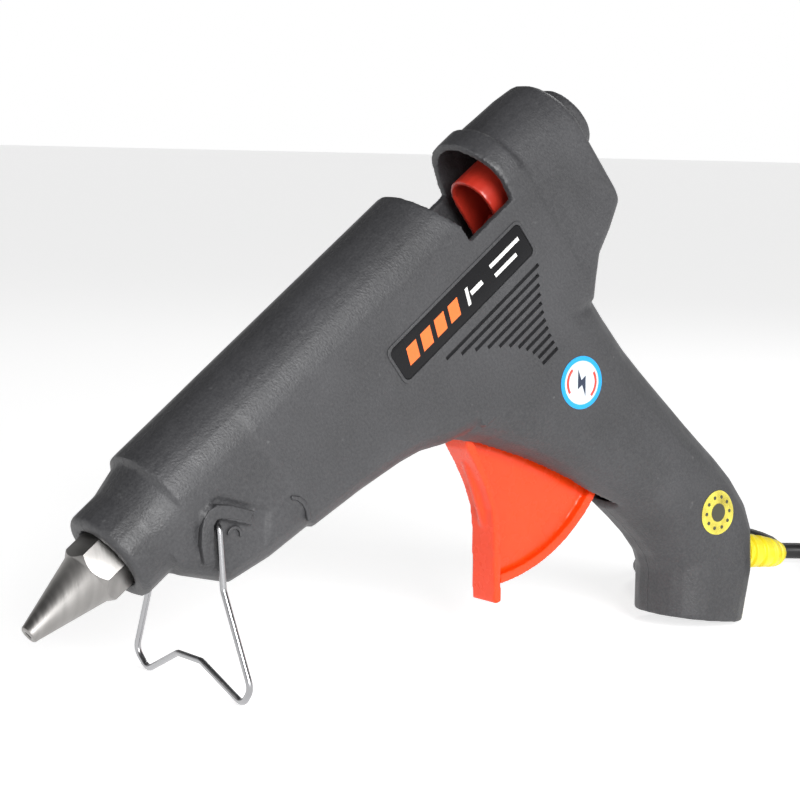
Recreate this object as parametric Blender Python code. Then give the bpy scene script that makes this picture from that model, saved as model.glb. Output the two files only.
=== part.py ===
"""A hot glue gun: two plastic half shells around a melt chamber, a sprung trigger that drives
a sliding feed carriage, a folding wire stand, and a mains cord that ends in a coil and a plug.

Shapes are written in millimetres in the gun's own frame: a runs from the nose collar's front face
to the rear, y to the gun's right, and h up. solid() turns them into metres. The gun_frame empty
stands that frame on the ground, nose down, as the gun rests on its wire stand and its handle.
"""

import math

import bmesh
import bpy
from mathutils import Matrix, Vector

MM = 0.001

# How the gun stands: nose down by TILT, on the wire's foot and the handle's lower rear edge.
TILT = math.radians(38.8)
GUN_X = -101.38
GUN_Z = 32.77

# Shells.
SEAM = 0.15
WALL = 2.2
BARREL_TOP = 16.0
BODY_HALF = 14.5
FRONT_HALF = 14.2
COLLAR_R = 12.3
NOSE_BORE_R = 8.45
INLET_R = 9.4
INLET_BORE_R = 6.2
INLET_H = -2.2
BODY_REAR = 163.4
SLOT_HALF = 5.5
SCREW_SPOTS = ((24.0, -17.6), (80.0, -28.4), (152.0, -23.5), (133.0, -96.0), (127.0, -132.0))

# Feed line, which falls slightly towards the rear.
FEED_SLOPE = math.radians(0.75)
STICK_BORE_R = 5.9
CHAMBER_R = 7.8
CHAMBER_REAR = 84.0
CARRIAGE_R = 7.3
CARRIAGE_WALL = 1.3
CARRIAGE_FRONT = 131.5
CARRIAGE_REAR = 153.0

# Trigger, grip lever and stand pivots.
TRIGGER_PIVOT = (101.5, -43.0)
DRIVE_PIN = (118.5, -16.0)
RIM_R = 46.5
RIM_DEPTH = 2.6
LEVER_PIVOT = (147.0, -12.5)
STAND_PIVOT = (21.4, -6.3)
STAND_OPEN = math.radians(-124.7)
STAND_FOLDED = math.radians(-53.0)
STAND_WIRE_R = 0.8
STAND_ARM_Y = 15.0

# Strain relief and cord.
RELIEF_POINT = (149.5, -139.5)
CORD_R = 2.5
COIL_CENTRE = (178.0, -8.0)
COIL_MEAN_R = 27.5
COIL_HALF = 7.4
COIL_HEIGHT = 14.8


def clear_scene():
    """Remove whatever the scene holds."""
    for item in list(bpy.data.objects):
        bpy.data.objects.remove(item)


def material(name, colour, roughness, metallic=0.0):
    """A Principled material, made once for each name."""
    found = bpy.data.materials.get(name)
    if found:
        return found
    made = bpy.data.materials.new(name)
    made.use_nodes = True
    shader = made.node_tree.nodes["Principled BSDF"]
    shader.inputs["Base Color"].default_value = (*colour, 1.0)
    shader.inputs["Roughness"].default_value = roughness
    shader.inputs["Metallic"].default_value = metallic
    return made


def empty(name, parent=None, place=(0, 0, 0), turn=0.0):
    """An empty at a place in millimetres, turned about its y axis."""
    made = bpy.data.objects.new(name, None)
    bpy.context.collection.objects.link(made)
    made.parent = parent
    made.location = Vector(place) * MM
    made.rotation_euler = (0, turn, 0)
    return made


def solid(name, points, faces, stuff=None, parent=None):
    """A mesh object from points in millimetres, its faces turned outwards."""
    mesh = bpy.data.meshes.new(name)
    mesh.from_pydata([Vector(point) * MM for point in points], [], faces)
    work = bmesh.new()
    work.from_mesh(mesh)
    bmesh.ops.recalc_face_normals(work, faces=work.faces)
    work.to_mesh(mesh)
    work.free()
    made = bpy.data.objects.new(name, mesh)
    bpy.context.collection.objects.link(made)
    made.parent = parent
    if stuff:
        mesh.materials.append(stuff)
        mesh.shade_smooth()
        mesh.set_sharp_from_angle(angle=math.radians(35))
    return made


def loft(name, rings, stuff=None, parent=None):
    """A closed solid through rings of equally many points."""
    count = len(rings[0])
    points = [point for ring in rings for point in ring]
    faces = [tuple(range(count)), tuple(range(len(points) - count, len(points)))]
    for row in range(len(rings) - 1):
        for side in range(count):
            after = (side + 1) % count
            low, high = row * count, (row + 1) * count
            faces.append((low + side, low + after, high + after, high + side))
    return solid(name, points, faces, stuff, parent)


def hoop(name, rings, stuff=None, parent=None):
    """A solid whose last ring joins its first, such as a tube or a turned ring."""
    count, rows = len(rings[0]), len(rings)
    points = [point for ring in rings for point in ring]
    faces = []
    for row in range(rows):
        following = (row + 1) % rows
        for side in range(count):
            after = (side + 1) % count
            faces.append(
                (row * count + side, row * count + after, following * count + after, following * count + side)
            )
    return solid(name, points, faces, stuff, parent)


def prism(name, outline, low, high, stuff=None, parent=None):
    """An outline in (a, h) made solid between two values of y."""
    rings = [[(a, y, h) for a, h in outline] for y in (low, high)]
    return loft(name, rings, stuff, parent)


def block(name, low, high, stuff=None, parent=None):
    """A box between two corners (a, y, h)."""
    outline = ((low[0], low[2]), (high[0], low[2]), (high[0], high[2]), (low[0], high[2]))
    return prism(name, outline, low[1], high[1], stuff, parent)


def around(centre, axis, radius, sides, along=0.0):
    """Points of a circle about an axis through centre."""
    axis = Vector(axis).normalized()
    first = axis.orthogonal().normalized() if abs(axis.y) > 0.99 else axis.cross(Vector((0, 1, 0)))
    first.normalize()
    second = axis.cross(first)
    middle = Vector(centre) + axis * along
    turns = (math.tau * step / sides for step in range(sides))
    return [middle + (first * math.cos(turn) + second * math.sin(turn)) * radius for turn in turns]


def rod(name, start, end, radius, sides=12, stuff=None, parent=None):
    """A cylinder from start to end."""
    axis = Vector(end) - Vector(start)
    rings = [around(start, axis, radius, sides, along) for along in (0.0, axis.length)]
    return loft(name, rings, stuff, parent)


def turned(name, centre, axis, profile, sides, stuff=None, parent=None):
    """A solid turned from (along, radius) pairs, with flat ends."""
    rings = [around(centre, axis, radius, sides, along) for along, radius in profile]
    return loft(name, rings, stuff, parent)


def turned_ring(name, centre, axis, profile, sides, stuff=None, parent=None):
    """A ring turned from a closed profile of (along, radius) pairs."""
    rings = [around(centre, axis, radius, sides, along) for along, radius in profile]
    return hoop(name, rings, stuff, parent)


def combine(target, tools, operation):
    """Join tools to the target or cut them from it, then remove them."""
    for tool in tools:
        step = target.modifiers.new(operation.lower(), "BOOLEAN")
        step.operation = operation
        step.solver = "EXACT"
        step.object = tool
        graph = bpy.context.evaluated_depsgraph_get()
        mesh = bpy.data.meshes.new_from_object(target.evaluated_get(graph))
        target.modifiers.clear()
        target.data = mesh
        bpy.data.objects.remove(tool)
    if target.data.materials:
        target.data.shade_smooth()
        target.data.set_sharp_from_angle(angle=math.radians(35))
    return target


def join(target, *tools):
    return combine(target, tools, "UNION")


def cut(target, *tools):
    return combine(target, tools, "DIFFERENCE")


def smooth_line(points, count):
    """Points spread evenly along a smooth curve through the given points."""
    route = [Vector(point) for point in points]
    route = [2 * route[0] - route[1], *route, 2 * route[-1] - route[-2]]
    fine = []
    for before, start, end, after in zip(route, route[1:], route[2:], route[3:]):
        for step in range(40):
            t = step / 40
            pull_in = (end - before) / 2
            pull_out = (after - start) / 2
            fine.append(
                start * (2 * t**3 - 3 * t**2 + 1)
                + pull_in * (t**3 - 2 * t**2 + t)
                + end * (3 * t**2 - 2 * t**3)
                + pull_out * (t**3 - t**2)
            )
    fine.append(route[-2])
    travelled = [0.0]
    for first, second in zip(fine, fine[1:]):
        travelled.append(travelled[-1] + (second - first).length)
    spaced, index = [], 0
    for step in range(count):
        goal = travelled[-1] * step / (count - 1)
        while index < len(fine) - 2 and travelled[index + 1] < goal:
            index += 1
        share = (goal - travelled[index]) / (travelled[index + 1] - travelled[index])
        spaced.append(fine[index].lerp(fine[index + 1], min(share, 1.0)))
    return spaced


def rounded_line(points, radius, steps=4):
    """A line of straight runs whose corners are arcs."""
    points = [Vector(point) for point in points]
    line = [points[0]]
    for before, corner, after in zip(points, points[1:], points[2:]):
        back, ahead = (before - corner).normalized(), (after - corner).normalized()
        half = back.angle(ahead) / 2
        reach = min(radius / math.tan(half), (before - corner).length / 2.1, (after - corner).length / 2.1)
        start, end = corner + back * reach, corner + ahead * reach
        for step in range(steps + 1):
            t = step / steps
            line.append(start * (1 - t) ** 2 + corner * 2 * t * (1 - t) + end * t**2)
    line.append(points[-1])
    return line


def wire(name, line, radius, stuff, parent=None, resolution=2):
    """A round wire or cord along a line, with closed ends."""
    curve = bpy.data.curves.new(name, "CURVE")
    curve.dimensions = "3D"
    curve.bevel_depth = radius * MM
    curve.bevel_resolution = resolution
    curve.use_fill_caps = True
    spline = curve.splines.new("POLY")
    spline.points.add(len(line) - 1)
    for place, point in zip(spline.points, line):
        place.co = (*(Vector(point) * MM), 1.0)
    curve.materials.append(stuff)
    made = bpy.data.objects.new(name, curve)
    bpy.context.collection.objects.link(made)
    made.parent = parent
    return made


def hold_at(made, pivot):
    """Move an object's origin to its joint's axis at (a, h)."""
    shift = Vector((pivot[0], 0, pivot[1])) * MM
    made.data.transform(Matrix.Translation(-shift))
    made.location = made.location + shift
    return made


# Shells ------------------------------------------------------------------------------------


def body_ring(side, a, top, bottom, half, corner, inset=0.0):
    """Half a barrel section: an arch, an upright side and a rounded lower corner."""
    top, bottom, half = top - inset, bottom + inset, half - inset
    corner = max(corner - inset, 1.0)
    seam = -2.0 if inset else -1.0
    ring = [(a, side * seam, top)]
    for step in range(1, 9):
        turn = math.radians(90 - step * 90 / 8)
        ring.append((a, side * half * math.cos(turn), top - half + half * math.sin(turn)))
    for step in range(5):
        turn = math.radians(-step * 90 / 4)
        reach = half - corner + corner * math.cos(turn)
        ring.append((a, side * reach, bottom + corner + corner * math.sin(turn)))
    ring.append((a, side * seam, bottom))
    return ring


def circle_ring(side, a, centre, radius, seam=-1.4):
    """Half a circle about the centre line, from top to bottom."""
    ring = [(a, side * seam, centre + radius)]
    for step in range(1, 12):
        turn = math.radians(90 - step * 15)
        ring.append((a, side * radius * math.cos(turn), centre + radius * math.sin(turn)))
    ring.append((a, side * seam, centre - radius))
    return ring


def handle_ring(side, front, back, half, inset=0.0):
    """Half a handle section between its front and back points, an oval with flat flanks."""
    front, back = Vector((front[0], 0, front[1])), Vector((back[0], 0, back[1]))
    depth = (back - front).length
    run = (back - front).normalized()
    nose, tail = min(15.0, 0.45 * depth), min(13.0, 0.4 * depth)
    seam = -2.4 if inset else -1.2
    across = Vector((0, side, 0))
    ring = [front + run * inset + across * seam]
    for step in range(1, 7):
        turn = math.radians(step * 90 / 6)
        along = nose - (nose - inset) * math.cos(turn)
        ring.append(front + run * along + across * (half - inset) * math.sin(turn))
    for step in range(6):
        turn = math.radians(step * 90 / 6)
        along = depth - tail + (tail - inset) * math.sin(turn)
        ring.append(front + run * along + across * (half - inset) * math.cos(turn))
    ring.append(front + run * (depth - inset) + across * seam)
    return ring


# Barrel stations: (a, top, bottom, half width, lower corner radius).
BODY_STATIONS = (
    (9.0, 12.4, -12.2, 12.6, 6.0),
    (17.0, 14.3, -22.2, 13.9, 8.0),
    (17.25, BARREL_TOP, -22.5, FRONT_HALF, 8.0),
    (29.0, BARREL_TOP, -25.5, FRONT_HALF, 8.0),
    (41.6, BARREL_TOP, -27.2, FRONT_HALF, 8.0),
    (42.2, BARREL_TOP, -28.2, BODY_HALF, 8.0),
    (57.7, BARREL_TOP, -30.6, BODY_HALF, 8.0),
    (70.7, BARREL_TOP, -33.3, BODY_HALF, 8.0),
    (77.0, BARREL_TOP, -35.2, BODY_HALF, 8.0),
    (84.0, BARREL_TOP, -39.0, BODY_HALF, 8.0),
    (92.0, BARREL_TOP, -42.0, BODY_HALF, 8.0),
    (130.0, BARREL_TOP, -42.0, BODY_HALF, 8.0),
    (134.0, 15.2, -42.0, BODY_HALF, 8.0),
    (141.0, 15.2, -41.5, BODY_HALF, 8.0),
    (141.4, 13.9, -41.4, 14.2, 8.0),
    (145.0, 13.8, -36.5, 14.1, 6.0),
    (149.0, 13.6, -32.2, 14.0, 5.0),
    (155.4, 13.4, -29.0, 13.7, 4.0),
    (162.0, 12.6, -25.6, 13.3, 4.0),
    (BODY_REAR, 11.2, -24.2, 11.9, 4.0),
)

# Handle stations: front point, back point, half width.
HANDLE_STATIONS = (
    ((87.0, -34.0), (142.5, -33.0), 13.9),
    ((86.4, -41.0), (144.7, -41.0), 14.5),
    ((92.4, -47.6), (144.8, -48.0), 14.5),
    ((100.3, -59.3), (145.4, -59.0), 14.5),
    ((105.0, -67.3), (146.6, -67.5), 14.4),
    ((109.3, -75.6), (148.1, -76.5), 14.3),
    ((112.0, -82.0), (149.4, -84.0), 14.2),
    ((115.0, -87.5), (150.5, -90.5), 14.1),
    ((118.0, -93.0), (151.8, -97.5), 14.0),
    ((119.6, -100.3), (153.4, -105.5), 13.9),
    ((120.9, -107.9), (154.6, -114.0), 13.8),
    ((121.2, -114.7), (154.6, -122.6), 13.7),
    ((120.0, -118.6), (152.6, -129.6), 13.6),
    ((116.4, -122.9), (146.0, -139.5), 13.5),
    ((112.8, -127.9), (134.0, -149.8), 13.4),
)


def outer_shape(name, side, stuff):
    """One half of the gun's outside, solid up to the seam."""
    shape = loft(name, [body_ring(side, *station) for station in BODY_STATIONS], stuff)
    handle = loft("handle", [handle_ring(side, *station) for station in HANDLE_STATIONS])
    nose = ((0.0, COLLAR_R - 1.3), (0.4, COLLAR_R - 0.4), (1.4, COLLAR_R), (9.7, COLLAR_R))
    collar = loft("collar", [circle_ring(side, a, 0.0, radius) for a, radius in nose])
    rear = ((159.0, INLET_R), (167.4, INLET_R), (168.0, INLET_R - 0.6))
    inlet = loft("inlet", [circle_ring(side, a, INLET_H, radius) for a, radius in rear])
    join(shape, handle, collar, inlet)
    low, high = across(side, -9.0, SEAM)
    return cut(shape, block("far_side", (-20.0, low, -170.0), (200.0, high, 40.0)))


def cavity_tools(side):
    """The hollow of one half, open at the seam."""
    inner = [station for station in BODY_STATIONS if 20.0 < station[0] < BODY_REAR]
    front = (20.0, BARREL_TOP, -23.0, FRONT_HALF, 8.0)
    rear = (161.0, 12.8, -26.4, 13.4, 4.0)
    stations = [front, *inner[:-1], rear]
    body = loft("hollow", [body_ring(side, *station, inset=WALL) for station in stations])
    lower = list(HANDLE_STATIONS[:-1])
    (front_a, front_h), (back_a, back_h), half = HANDLE_STATIONS[-1]
    lower.append(((front_a + 2.0, front_h + 2.4), (back_a + 3.5, back_h + 4.0), half))
    grip = loft("grip", [handle_ring(side, *station, inset=WALL) for station in lower])
    return [body, grip]


def chamber_rib(side, a, radius, low):
    """A cradle wall across the barrel, with a round notch for the feed line."""
    centre = -a * math.tan(FEED_SLOPE)
    near, far = across(side, SEAM + 0.05, 13.0)
    rib = block("rib", (a, near, low), (a + 2.0, far, 5.5))
    hole = rod("notch", (a - 1, 0, centre), (a + 3, 0, centre), radius, 24)
    return cut(rib, hole)


def across(side, near, far):
    """Two y values, in order, on one side of the seam."""
    return sorted((side * near, side * far))


def boss(side, spot, radius, near, far, sides=12):
    """A round post across the shell at (a, h)."""
    low, high = across(side, near, far)
    return rod("boss", (spot[0], low, spot[1]), (spot[0], high, spot[1]), radius, sides)


def inner_features(side):
    """Posts, rails and cradles that stand on the inside of one half."""
    features = [chamber_rib(side, 25.4, CHAMBER_R + 0.5, -20.0), chamber_rib(side, 92.0, 9.7, -9.0)]
    features += [boss(side, spot, 3.2, SEAM + 0.05, 12.6) for spot in SCREW_SPOTS]
    features.append(boss(side, TRIGGER_PIVOT, 3.7, 5.9, 12.6))
    features.append(boss(side, STAND_PIVOT, 2.8, 10.0, 12.6))
    low, high = across(side, 8.2, 12.7)
    features.append(block("rail", (119.0, low, -15.4), (158.0, high, -13.9)))
    low, high = across(side, 7.2, 12.6)
    features.append(block("spring_wall", (138.0, low, -36.0), (141.0, high, -30.0)))
    return features


def slot_tools(side):
    """The window, the nose and inlet bores, the trigger slot and the cord's way out."""
    window = ((113.2, 20.0), (113.2, 15.0), (115.2, 9.0), (117.2, 4.0), (117.2, -1.0))
    window += ((133.6, -1.0), (134.6, 5.0), (134.0, 20.0))
    tools = [prism("window", window, -20.0, 20.0)]
    tools.append(rod("nose_bore", (-2, 0, 0), (21.0, 0, -0.1), NOSE_BORE_R, 32))
    tools.append(rod("inlet_bore", (158.0, 0, INLET_H + 0.1), (170.0, 0, INLET_H), INLET_BORE_R, 28))
    slot = ((86.5, -38.0), (104.0, -50.0), (121.0, -82.0), (122.0, -91.0), (116.5, -95.5), (78.0, -60.0))
    tools.append(prism("trigger_slot", (*slot, (76.0, -42.0)), -SLOT_HALF, SLOT_HALF))
    out = Vector((math.cos(TILT), 0, -math.sin(TILT)))
    start = Vector((RELIEF_POINT[0], 0, RELIEF_POINT[1]))
    tools.append(rod("cord_hole", start - out * 9.0, start + out * 8.0, 4.9, 20))
    return tools


def vent_tools(side):
    """Eleven slots whose ends follow two curves."""
    low, high = across(side, 11.0, 18.0)
    tools = []
    for index in range(11):
        share = 1 - index / 10
        h = -19.0 - 2.09 * index
        front, rear = 94.2 + 22.5 * (1 - share**2), 122.8 + 7.6 * share**2
        tools.append(block("vent", (front, low, h - 0.5), (rear, high, h + 0.5)))
    return tools


def stand_pocket(side):
    """The shallow recess and the pivot hole on one flank."""
    low, high = across(side, 13.4, 20.0)
    outline = ((13.6, -16.6), (12.8, -12.6), (16.2, -3.6), (20.6, -0.6), (25.6, -1.0), (34.6, -13.4), (29.0, -19.6))
    pocket = prism("pocket", outline, low, high)
    hole = boss(side, STAND_PIVOT, 1.2, 9.0, 20.0, 14)
    return [pocket, hole]


def stand_rib(side):
    """The two-armed rib that stops the stand when open and when folded."""
    low, high = across(side, 13.0, 15.2)
    arms = []
    for angle, sense in ((STAND_OPEN, -1), (STAND_FOLDED, 1)):
        run = Vector((math.cos(angle), math.sin(angle)))
        aside = Vector((-run.y, run.x)) * sense
        centre = Vector(STAND_PIVOT)
        near, far = 1.5, 3.8
        corners = [centre - run * far * 0.9 + aside * near, centre + run * 9.0 + aside * near]
        corners += [centre + run * 9.0 + aside * far, centre - run * far * 0.9 + aside * far]
        arms.append(prism("arm", [tuple(corner) for corner in corners], low, high))
    return arms


def label_tools():
    """The pocket on the left flank for the label."""
    return [block("label", (81.6, -20.0, -16.0), (131.6, -13.6, -6.1))]


def half_shell(name, side, parent, stuff):
    """One half shell: side is -1 for the left half and 1 for the right half."""
    shell = outer_shape(name, side, stuff)
    cut(shell, *cavity_tools(side))
    join(shell, *inner_features(side))
    cut(shell, *stand_pocket(side), *slot_tools(side), *vent_tools(side))
    cut(shell, boss(side, TRIGGER_PIVOT, 1.85, 5.0, 10.4, 14))
    join(shell, *stand_rib(side))
    for spot in SCREW_SPOTS:
        if side > 0:
            cut(shell, boss(side, spot, 1.6, -1.0, 20.0), boss(side, spot, 2.9, 11.0, 20.0, 16))
        else:
            cut(shell, boss(side, spot, 1.6, -1.0, 9.5))
    if side < 0:
        cut(shell, *label_tools())
    shell.parent = parent
    return shell


# Heated parts ------------------------------------------------------------------------------


def nozzle(parent, stuff):
    """The hexagonal nozzle: a cone with a bore and a threaded socket."""
    profile = ((-25.2, 2.25), (-6.6, 6.9), (-6.2, 7.1), (-5.2, 8.08), (1.5, 8.08))
    made = turned("nozzle", (0, 0, 0), (1, 0, 0), profile, 36, stuff)
    hexagon = rod("hexagon", (-30, 0, 0), (5, 0, 0), 7.0 / math.cos(math.pi / 6), 6)
    combine(made, [hexagon], "INTERSECT")
    bore = ((-27.0, 1.0), (-20.0, 1.0), (-8.0, 5.9), (3.0, 5.9))
    cut(made, turned("bore", (0, 0, 0), (1, 0, 0), bore, 20))
    made.parent = parent
    return made


def melt_chamber(parent, stuff):
    """The aluminium chamber, with the heater's box cast under it."""
    profile = ((-4.0, 5.5), (2.0, 5.5), (2.1, CHAMBER_R), (73.0, CHAMBER_R), (73.2, 7.3), (CHAMBER_REAR, 7.3))
    made = turned("melt_chamber", (0, 0, 0), (1, 0, 0), profile, 28, stuff)
    join(made, block("heater_box", (30.0, -8.0, -19.0), (70.0, 8.0, -5.5)))
    cut(made, block("pocket", (28.0, -6.8, -17.0), (72.0, 6.8, -10.0)))
    cut(made, rod("bore", (-6, 0, 0), (90, 0, 0), 4.9, 24))
    made.parent = parent
    return made


def heater_stack(parent, stuffs):
    """The ceramic heater between two electrodes, in an insulating wrap, held by a spring clip."""
    ceramic, metal, film = stuffs
    block("ptc_heater", (36.0, -5.4, -14.9), (64.0, 5.4, -12.1), ceramic, parent)
    block("electrode_upper", (33.0, -5.4, -11.8), (79.0, 5.4, -11.2), metal, parent)
    block("electrode_lower", (33.0, -5.4, -15.8), (79.0, 5.4, -15.2), metal, parent)
    wrap = block("heater_wrap", (31.0, -6.4, -16.6), (69.0, 6.4, -10.4), film)
    cut(wrap, block("inside", (30.0, -5.9, -16.1), (70.0, 5.9, -10.9)))
    clip = block("heater_clip", (45.0, -9.0, -20.4), (55.0, 9.0, -6.0), metal)
    cut(clip, block("inside", (44.0, -8.35, -19.4), (56.0, 8.35, -4.0)))
    wrap.parent = clip.parent = parent


def inlet_sleeve(parent, stuffs):
    """The silicone sleeve on the chamber's rear end, and its clamp ring."""
    rubber, metal = stuffs
    sleeve = ((74.0, 7.7), (74.0, 9.0), (88.0, 9.0), (97.0, 8.2), (100.0, 8.2), (100.0, 6.2), (88.0, 6.2), (84.8, 7.7))
    turned_ring("inlet_sleeve", (0, 0, 0), (1, 0, 0), sleeve, 24, rubber, parent)
    ring = ((74.6, 9.4), (74.6, 10.1), (77.4, 10.1), (77.4, 9.4))
    turned_ring("sleeve_clamp", (0, 0, 0), (1, 0, 0), ring, 24, metal, parent)


# Feed mechanism ----------------------------------------------------------------------------


def arch_section(radius, foot, steps=10):
    """An arch in (y, h): a half circle on two upright legs."""
    turns = (math.pi * step / steps for step in range(steps + 1))
    return [(radius, foot)] + [(radius * math.cos(t), radius * math.sin(t)) for t in turns] + [(-radius, foot)]


def feed_carriage(parent, stuff):
    """The sliding arch that pushes the stick forward."""
    outer = arch_section(CARRIAGE_R, -11.4)
    inner = list(reversed(arch_section(CARRIAGE_R - CARRIAGE_WALL, -11.4)))
    section = outer + inner
    rings = [[(a, y, h) for y, h in section] for a in (CARRIAGE_FRONT, CARRIAGE_REAR)]
    made = loft("feed_carriage", rings, stuff)
    for low, high in ((-10.2, -6.6), (6.6, 10.2)):
        join(made, block("foot", (134.0, low, -11.4), (CARRIAGE_REAR, high, -9.6)))
    join(made, block("plate", (142.0, -6.6, -15.0), (151.5, -5.6, -8.0)))
    join(made, block("plate", (142.0, 5.6, -15.0), (151.5, 6.6, -8.0)))
    rise = math.tan(FEED_SLOPE) * LEVER_PIVOT[0]
    spot = (LEVER_PIVOT[0], LEVER_PIVOT[1] + rise)
    cut(made, rod("hole", (spot[0], -9, spot[1]), (spot[0], 9, spot[1]), 1.6, 12))
    made.parent = parent
    return made


def grip_lever(parent, stuffs):
    """The forked lever whose teeth bite the stick, on its pivot pin."""
    plastic, metal = stuffs
    a, h = LEVER_PIVOT
    drive_a, drive_h = DRIVE_PIN
    body = ((134.0, -16.6), (149.0, -15.4), (150.0, -11.6), (146.0, -9.2), (138.6, -9.0), (137.6, -9.9), (136.6, -9.0))
    body += ((135.6, -9.9), (134.0, -9.6))
    made = prism("grip_lever", body, -4.6, 4.6, plastic)
    fork = ((drive_a - 3.6, drive_h - 2.6), (drive_a + 3.0, drive_h - 3.4), (136.0, -16.6))
    fork += ((136.0, -12.6), (drive_a + 3.0, drive_h + 3.4), (drive_a - 3.6, drive_h + 2.6))
    for low, high in ((-4.6, -2.9), (2.9, 4.6)):
        join(made, prism("cheek", fork, low, high))
    hole = ((drive_a - 2.4, drive_h - 1.7), (drive_a + 1.8, drive_h - 1.7), (drive_a + 1.8, drive_h + 1.7))
    cut(made, prism("eye", (*hole, (drive_a - 2.4, drive_h + 1.7)), -6, 6))
    cut(made, rod("hole", (a, -6, h), (a, 6, h), 1.6, 12))
    made.parent = parent
    hold_at(made, LEVER_PIVOT)
    pin = rod("grip_pin", (a, -6.9, h), (a, 6.9, h), 1.25, 12, metal, parent)
    return made, hold_at(pin, LEVER_PIVOT)


def rim_outline(radius, start, end, steps=14):
    """Points of an arc about the trigger's pivot, in (a, h)."""
    points = []
    for step in range(steps + 1):
        turn = math.radians(start + (end - start) * step / steps)
        points.append((TRIGGER_PIVOT[0] + radius * math.cos(turn), TRIGGER_PIVOT[1] + radius * math.sin(turn)))
    return points


def trigger(parent, stuffs):
    """The trigger: a finger plate, a thin web inside a round rim, and the arm that drives the feed."""
    plastic, metal = stuffs
    a, h = TRIGGER_PIVOT
    plate_front = ((93.6, -41.6), (90.9, -47.4), (90.4, -53.0), (89.4, -59.0), (87.5, -65.2), (84.7, -70.0), (73.6, -85.2))
    plate_rear = ((75.4, -86.4), (84.3, -74.2), (88.9, -67.2), (91.4, -59.4), (92.6, -52.5), (93.5, -47.0), (96.0, -42.0))
    made = prism("trigger", plate_front + plate_rear, -4.7, 4.7, plastic)
    outer = rim_outline(RIM_R, -119.0, -64.0)
    inner = rim_outline(RIM_R - RIM_DEPTH, -64.0, -119.0)
    join(made, prism("rim", outer + inner, -3.0, 3.0))
    web = [(94.0, -42.0), (91.0, -50.0), *rim_outline(RIM_R - 1.0, -117.5, -64.5), (106.5, -46.0), (100.0, -39.5)]
    join(made, prism("web", web, -1.0, 1.0))
    join(made, rod("hub", (a, -4.9, h), (a, 4.9, h), 4.2, 16))
    run = (Vector(DRIVE_PIN) - Vector(TRIGGER_PIVOT)).normalized()
    aside = Vector((-run.y, run.x))
    start, end = Vector(TRIGGER_PIVOT), Vector(DRIVE_PIN) + run * 2.4
    arm = [start + aside * 4.0, start - aside * 4.0, end - aside * 2.3, end + aside * 2.3]
    join(made, prism("arm", [tuple(corner) for corner in arm], -2.3, 2.3))
    cut(made, rod("hole", (a, -7, h), (a, 7, h), 1.85, 14))
    drive_a, drive_h = DRIVE_PIN
    cut(made, rod("hole", (drive_a, -4, drive_h), (drive_a, 4, drive_h), 1.45, 12))
    made.parent = parent
    hold_at(made, TRIGGER_PIVOT)
    pin = rod("drive_pin", (drive_a, -5.2, drive_h), (drive_a, 5.2, drive_h), 1.15, 12, metal, parent)
    return made, hold_at(pin, TRIGGER_PIVOT)


def return_spring(parent, stuff):
    """The spring that pulls the trigger's arm rearward, from the arm to a post on the left half."""
    front, rear = Vector((117.4, 0.0, -26.0)), Vector((137.6, -8.6, -33.0))
    run = (rear - front).normalized()
    first = run.orthogonal().normalized()
    second = run.cross(first)
    turns, radius, steps = 9, 2.2, 8
    start, end = front + run * 4.0, rear - run * 4.0
    line = [front, front + run * 3.4]
    for step in range(turns * steps + 1):
        turn = math.tau * step / steps
        middle = start.lerp(end, step / (turns * steps))
        line.append(middle + (first * math.cos(turn) + second * math.sin(turn)) * radius)
    line += [rear - run * 3.4, rear]
    return wire("return_spring", line, 0.4, stuff, parent, 0)


# Stand -------------------------------------------------------------------------------------


def wire_stand(parent, stuff):
    """The bent wire: two stubs, two splayed arms and a raised foot."""
    a, h = STAND_PIVOT
    half = [(a, 10.6, h), (a, STAND_ARM_Y, h), (12.8, 15.6, -18.7), (0.6, 25.5, -36.3), (-1.6, 21.2, -40.2)]
    half.append((1.9, 5.3, -33.7))
    route = [(x, -y, z) for x, y, z in half] + [(x, y, z) for x, y, z in reversed(half)]
    line = rounded_line(route, 2.2)
    made = wire("wire_stand", [Vector(point) - Vector((a, 0, h)) for point in line], STAND_WIRE_R, stuff, parent, 2)
    made.location = Vector((a, 0, h)) * MM
    return made


# Fasteners and small pieces ----------------------------------------------------------------


def trigger_pin(parent, stuff):
    a, h = TRIGGER_PIVOT
    return rod("trigger_pin", (a, -10.0, h), (a, 10.0, h), 1.5, 14, stuff, parent)


def shell_screws(parent, stuff):
    """Five screws, put in from the right half."""
    profile = ((0.0, 1.25), (20.0, 1.25), (20.3, 2.4), (21.8, 2.4), (22.2, 1.9))
    for number, (a, h) in enumerate(SCREW_SPOTS, start=1):
        turned(f"shell_screw_{number}", (a, -8.9, h), (0, 1, 0), profile, 12, stuff, parent)


def label_and_stickers(parent, stuffs):
    """The label plate and the two round stickers on the left flank."""
    label, blue, gold = stuffs
    block("label_plate", (81.95, -14.45, -15.65), (131.25, -13.95, -6.45), label, parent)
    for name, spot, level, radius, stuff in (
        ("power_sticker", (123.5, -52.2), 14.8, 6.8, blue),
        ("foil_sticker", (139.8, -113.1), 14.15, 5.95, gold),
    ):
        start, end = (spot[0], -level - 0.3, spot[1]), (spot[0], -level, spot[1])
        rod(name, start, end, radius, 32, stuff, parent)


# Cord --------------------------------------------------------------------------------------


def to_world(a, y, h):
    """A point of the gun's frame in the world, in millimetres."""
    x = a * math.cos(TILT) - h * math.sin(TILT) + GUN_X
    z = a * math.sin(TILT) + h * math.cos(TILT) + GUN_Z
    return Vector((x, y, z))


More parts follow.
